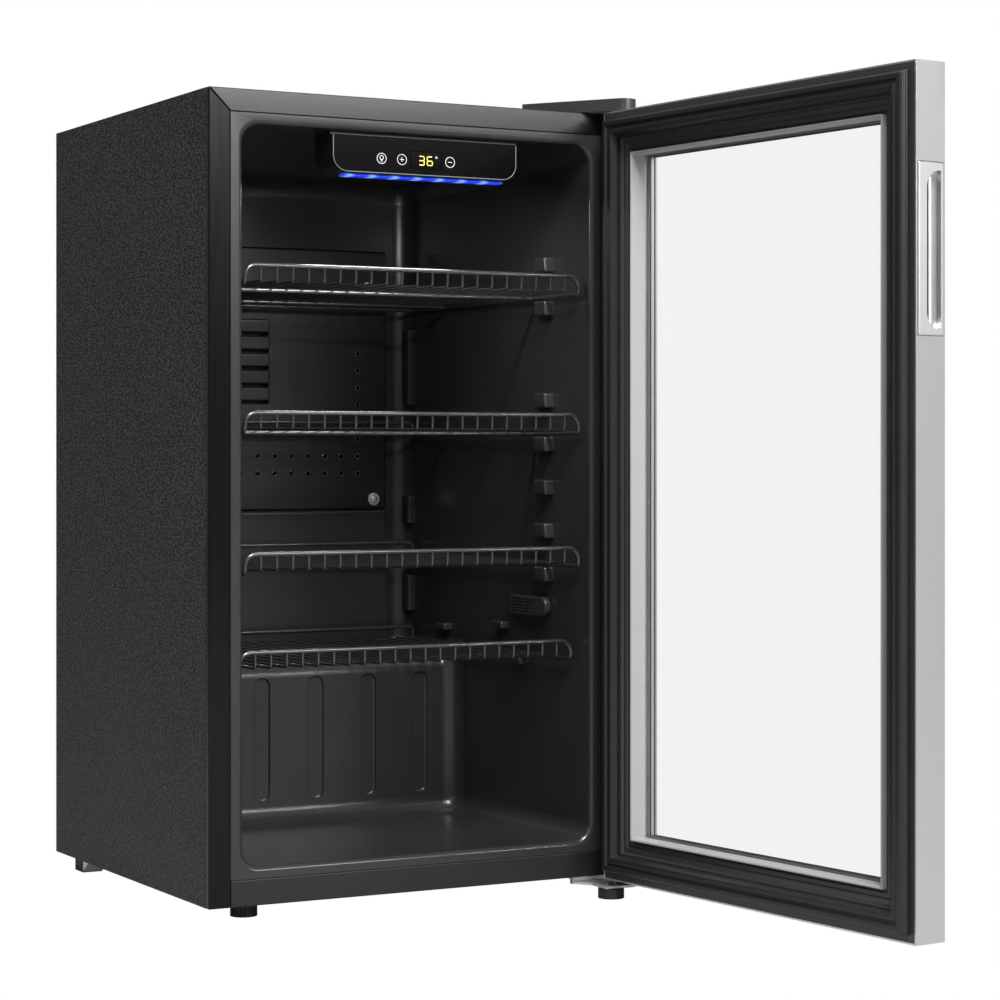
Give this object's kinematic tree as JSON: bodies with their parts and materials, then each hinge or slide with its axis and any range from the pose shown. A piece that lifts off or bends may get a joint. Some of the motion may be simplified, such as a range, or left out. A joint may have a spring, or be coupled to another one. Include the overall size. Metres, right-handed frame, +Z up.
{
  "type": "mini fridge",
  "caption": "Glass-door mini fridge with a right-hinged framed glass door, sliding wire shelves and a ceiling control panel.",
  "frame": {"origin": "middle of the underside of the whole object's bounding box, at floor level, with the door open at its stored angle", "axes": "+Z up, +Y from the front of the cabinet to its back, +X to the right of someone facing the cabinet"},
  "size_m": [0.5368, 0.9464, 0.854],
  "materials": {
    "painted_steel": "charcoal hammered paint, matt",
    "zinc": "zinc plated",
    "trim_steel": "satin dark grey",
    "black_plastic": "semi-gloss moulded",
    "gloss_black": "gloss",
    "light_lens": "clear blue, lit",
    "foam": "rigid foam",
    "coated_wire": "grey coating, satin",
    "grey_trim": "satin light grey",
    "dark_enamel": "enamel",
    "aluminium": "mill",
    "copper": "drawn",
    "rubber": "matt",
    "stainless": "satin brushed",
    "chrome": "polished",
    "glass": "clear float"
  },
  "bodies": {
    "cabinet": {"outer_shell": "painted_steel", "back_panel": "painted_steel", "bay_cover": "painted_steel", "base_pan": "painted_steel", "bay_panel": "zinc", "front_trim_left": "trim_steel", "front_trim_right": "trim_steel", "front_trim_top": "trim_steel", "toe_kick": "black_plastic", "liner": "black_plastic", "insulation": "foam", "control_fascia": "gloss_black", "display_window": "gloss_black", "control_housing": "black_plastic", "light_lens": "light_lens", "sensor_cover": "black_plastic", "duct_cover": "black_plastic", "duct_screw_low": "grey_trim", "duct_screw_high": "zinc", "fan_motor": "dark_enamel", "evaporator": "aluminium", "compressor": "dark_enamel", "start_relay": "black_plastic", "condenser": "copper", "drip_tray": "black_plastic", "top_hinge_plate": "zinc", "top_hinge_screw_1": "zinc", "top_hinge_screw_2": "zinc", "top_hinge_cover": "black_plastic", "bottom_hinge_bracket": "zinc", "hinge_washer": "black_plastic", "bottom_hinge_screw_1": "zinc", "bottom_hinge_screw_2": "zinc", "rear_foot_left": "rubber", "rear_bracket_left": "zinc", "rear_foot_right": "rubber", "rear_bracket_right": "zinc"},
    "door": {"door_frame": "stainless", "door_inner_frame": "black_plastic", "window_jamb": "grey_trim", "outer_pane": "glass", "inner_pane": "glass", "pane_spacer": "aluminium", "door_gasket": "rubber", "door_handle": "chrome", "door_bush_top": "black_plastic", "door_bush_bottom": "black_plastic"},
    "shelf_1": {"shelf_1": "coated_wire"},
    "shelf_2": {"shelf_2": "coated_wire"},
    "shelf_3": {"shelf_3": "coated_wire"},
    "shelf_4": {"shelf_4": "coated_wire"},
    "light_key": {"key_light": "gloss_black"},
    "plus_key": {"key_plus": "gloss_black"},
    "minus_key": {"key_minus": "gloss_black"},
    "fan": {"fan_impeller": "black_plastic"},
    "left_foot": {"foot_front_left": "rubber"},
    "right_foot": {"foot_front_right": "rubber"}
  },
  "joints": [
    {"name": "door_swing", "type": "hinge", "parent": "cabinet", "child": "door", "pos_m": [0.1986, -0.00581, 0.419], "axis": [0, 0, 1], "range_deg": [-96, 24]},
    {"name": "shelf_1_slide", "type": "slide", "parent": "cabinet", "child": "shelf_1", "axis": [0, -1, 0], "range_m": [0, 0.3]},
    {"name": "shelf_2_slide", "type": "slide", "parent": "cabinet", "child": "shelf_2", "axis": [0, -1, 0], "range_m": [0, 0.3]},
    {"name": "shelf_3_slide", "type": "slide", "parent": "cabinet", "child": "shelf_3", "axis": [0, -1, 0], "range_m": [0, 0.3]},
    {"name": "shelf_4_slide", "type": "slide", "parent": "cabinet", "child": "shelf_4", "axis": [0, -1, 0], "range_m": [0, 0.3]},
    {"name": "light_press", "type": "slide", "parent": "cabinet", "child": "light_key", "axis": [0, 1, 0], "range_m": [0, 0.0008], "stiffness_N_per_m": 600},
    {"name": "plus_press", "type": "slide", "parent": "cabinet", "child": "plus_key", "axis": [0, 1, 0], "range_m": [0, 0.0008], "stiffness_N_per_m": 600},
    {"name": "minus_press", "type": "slide", "parent": "cabinet", "child": "minus_key", "axis": [0, 1, 0], "range_m": [0, 0.0008], "stiffness_N_per_m": 600},
    {"name": "fan_spin", "type": "hinge", "parent": "cabinet", "child": "fan", "pos_m": [-0.08621, 0.43459, 0.5757], "axis": [0, 1, 0], "continuous": true},
    {"name": "left_foot_turn", "type": "hinge", "parent": "cabinet", "child": "left_foot", "pos_m": [-0.2064, 0.07719, 0.009], "axis": [0, 0, 1], "continuous": true},
    {"name": "right_foot_turn", "type": "hinge", "parent": "cabinet", "child": "right_foot", "pos_m": [0.1816, -0.00981, 0.009], "axis": [0, 0, 1], "continuous": true}
  ]
}
